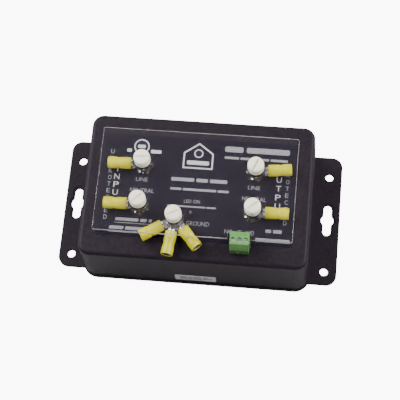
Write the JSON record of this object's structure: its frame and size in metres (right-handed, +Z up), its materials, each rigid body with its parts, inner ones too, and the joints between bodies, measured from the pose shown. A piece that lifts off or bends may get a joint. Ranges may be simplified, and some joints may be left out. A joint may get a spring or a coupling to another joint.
{
  "type": "surge protector",
  "caption": "Hard-wired series surge protector: flanged black case, stud terminals under a clear safety cover, alarm relay block.",
  "frame": {"origin": "middle of the base outline, on the underside of the base", "axes": "+X from the input end to the output end, -Y the front with the alarm block's wire entries, +Z up out of the label"},
  "size_m": [0.1622, 0.0876, 0.0592],
  "materials": {
    "case_plastic": "fine pebbled satin black ABS",
    "label_film": "printed polyester film, blue-black",
    "sticker_film": "silver-white foil tag",
    "clear_plastic": "clear polished polycarbonate",
    "white_nylon": "natural nylon, slightly waxy",
    "yellow_vinyl": "semi-translucent yellow vinyl",
    "tinned_copper": "bright tin plate",
    "nickel_brass": "nickel plate",
    "spring_steel": "zinc plated spring steel",
    "zinc_steel": "zinc plate",
    "green_plastic": "moulded polyamide",
    "circuit_board": "solder mask",
    "bare_copper": "rolled copper",
    "enamel_copper": "enamelled copper wire",
    "ferrite": "coated ferrite",
    "varistor_coat": "epoxy dip coat",
    "cutoff_body": "ceramic sleeve",
    "ceramic_white": "glazed ceramic with metal ends",
    "capacitor_box": "potted box",
    "relay_plastic": "moulded relay case",
    "led_lens": "diffused lens",
    "resistor_body": "lacquered film resistor"
  },
  "bodies": {
    "housing": {"base_nuts": "nickel_brass", "base_plate": "case_plastic", "base_screws": "zinc_steel", "block_housing": "green_plastic", "block_pins": "tinned_copper", "board_screws": "zinc_steel", "choke_core": "ferrite", "choke_windings": "enamel_copper", "clamp_nuts": "nickel_brass", "enclosure_shell": "case_plastic", "filter_capacitor": "capacitor_box", "front_sticker": "sticker_film", "gas_tube": "ceramic_white", "indicator_led": "led_lens", "inner_nuts": "nickel_brass", "label_panel": "label_film", "light_pipe": "led_lens", "main_board": "circuit_board", "relay_base": "relay_plastic", "relay_coil": "enamel_copper", "relay_contacts": "tinned_copper", "relay_cover": "relay_plastic", "relay_yoke": "zinc_steel", "resistors": "resistor_body", "ring_ground_left": "tinned_copper", "ring_ground_mid": "tinned_copper", "ring_ground_right": "tinned_copper", "ring_line_in": "tinned_copper", "ring_line_out": "tinned_copper", "ring_neutral_in": "tinned_copper", "ring_neutral_out": "tinned_copper", "signal_board": "circuit_board", "signal_board_screws": "zinc_steel", "sleeve_ground_left": "yellow_vinyl", "sleeve_ground_mid": "yellow_vinyl", "sleeve_ground_right": "yellow_vinyl", "sleeve_line_in": "yellow_vinyl", "sleeve_line_out": "yellow_vinyl", "sleeve_neutral_in": "yellow_vinyl", "sleeve_neutral_out": "yellow_vinyl", "star_washers": "spring_steel", "terminal_straps": "bare_copper", "terminal_studs": "nickel_brass", "thermal_cutoffs": "cutoff_body", "varistor_line_ground": "varistor_coat", "varistor_line_neutral": "varistor_coat", "varistor_neutral_ground": "varistor_coat"},
    "cover": {"safety_cover": "clear_plastic"},
    "armature": {"relay_armature": "zinc_steel"},
    "cover_screw_line_in": {"cover_screw_line_in": "white_nylon"},
    "cover_screw_neutral_in": {"cover_screw_neutral_in": "white_nylon"},
    "cover_screw_ground": {"cover_screw_ground": "white_nylon"},
    "cover_screw_line_out": {"cover_screw_line_out": "white_nylon"},
    "cover_screw_neutral_out": {"cover_screw_neutral_out": "white_nylon"},
    "block_screw_nc": {"block_screw_nc": "zinc_steel"},
    "block_clamp_nc": {"block_clamp_nc": "zinc_steel"},
    "block_screw_com": {"block_screw_com": "zinc_steel"},
    "block_clamp_com": {"block_clamp_com": "zinc_steel"},
    "block_screw_no": {"block_screw_no": "zinc_steel"},
    "block_clamp_no": {"block_clamp_no": "zinc_steel"}
  },
  "joints": [
    {"name": "cover_lift", "type": "slide", "parent": "housing", "child": "cover", "axis": [0, 0, 1], "range_m": [0, 0.025]},
    {"name": "armature_rock", "type": "hinge", "parent": "housing", "child": "armature", "pos_m": [0.017, -0.0285, 0.0212], "axis": [0, 1, 0], "range_deg": [0, 4.5], "stiffness_Nm_per_rad": 0.004, "springref_deg": -11.46},
    {"name": "turn_cover_screw_line_in", "type": "hinge", "parent": "cover", "child": "cover_screw_line_in", "pos_m": [-0.0311, 0.0115, 0.0526], "axis": [0, 0, 1], "continuous": true},
    {"name": "turn_cover_screw_neutral_in", "type": "hinge", "parent": "cover", "child": "cover_screw_neutral_in", "pos_m": [-0.0311, -0.0122, 0.0526], "axis": [0, 0, 1], "continuous": true},
    {"name": "turn_cover_screw_ground", "type": "hinge", "parent": "cover", "child": "cover_screw_ground", "pos_m": [-0.0107, -0.0192, 0.0526], "axis": [0, 0, 1], "continuous": true},
    {"name": "turn_cover_screw_line_out", "type": "hinge", "parent": "cover", "child": "cover_screw_line_out", "pos_m": [0.0319, 0.0115, 0.0526], "axis": [0, 0, 1], "continuous": true},
    {"name": "turn_cover_screw_neutral_out", "type": "hinge", "parent": "cover", "child": "cover_screw_neutral_out", "pos_m": [0.0319, -0.0122, 0.0526], "axis": [0, 0, 1], "continuous": true},
    {"name": "turn_block_screw_nc", "type": "hinge", "parent": "housing", "child": "block_screw_nc", "pos_m": [0.02275, -0.031, 0.0526], "axis": [0, 0, 1], "range_deg": [-1800, 0]},
    {"name": "clamp_rise_nc", "type": "slide", "parent": "housing", "child": "block_clamp_nc", "axis": [0, 0, 1], "range_m": [0, 0.002]},
    {"name": "turn_block_screw_com", "type": "hinge", "parent": "housing", "child": "block_screw_com", "pos_m": [0.02625, -0.031, 0.0526], "axis": [0, 0, 1], "range_deg": [-1800, 0]},
    {"name": "clamp_rise_com", "type": "slide", "parent": "housing", "child": "block_clamp_com", "axis": [0, 0, 1], "range_m": [0, 0.002]},
    {"name": "turn_block_screw_no", "type": "hinge", "parent": "housing", "child": "block_screw_no", "pos_m": [0.02975, -0.031, 0.0526], "axis": [0, 0, 1], "range_deg": [-1800, 0]},
    {"name": "clamp_rise_no", "type": "slide", "parent": "housing", "child": "block_clamp_no", "axis": [0, 0, 1], "range_m": [0, 0.002]}
  ],
  "couplings": [
    {"joint": "turn_block_screw_nc", "follows": "clamp_rise_nc", "rad_per_m": -15708},
    {"joint": "turn_block_screw_com", "follows": "clamp_rise_com", "rad_per_m": -15708},
    {"joint": "turn_block_screw_no", "follows": "clamp_rise_no", "rad_per_m": -15708}
  ]
}
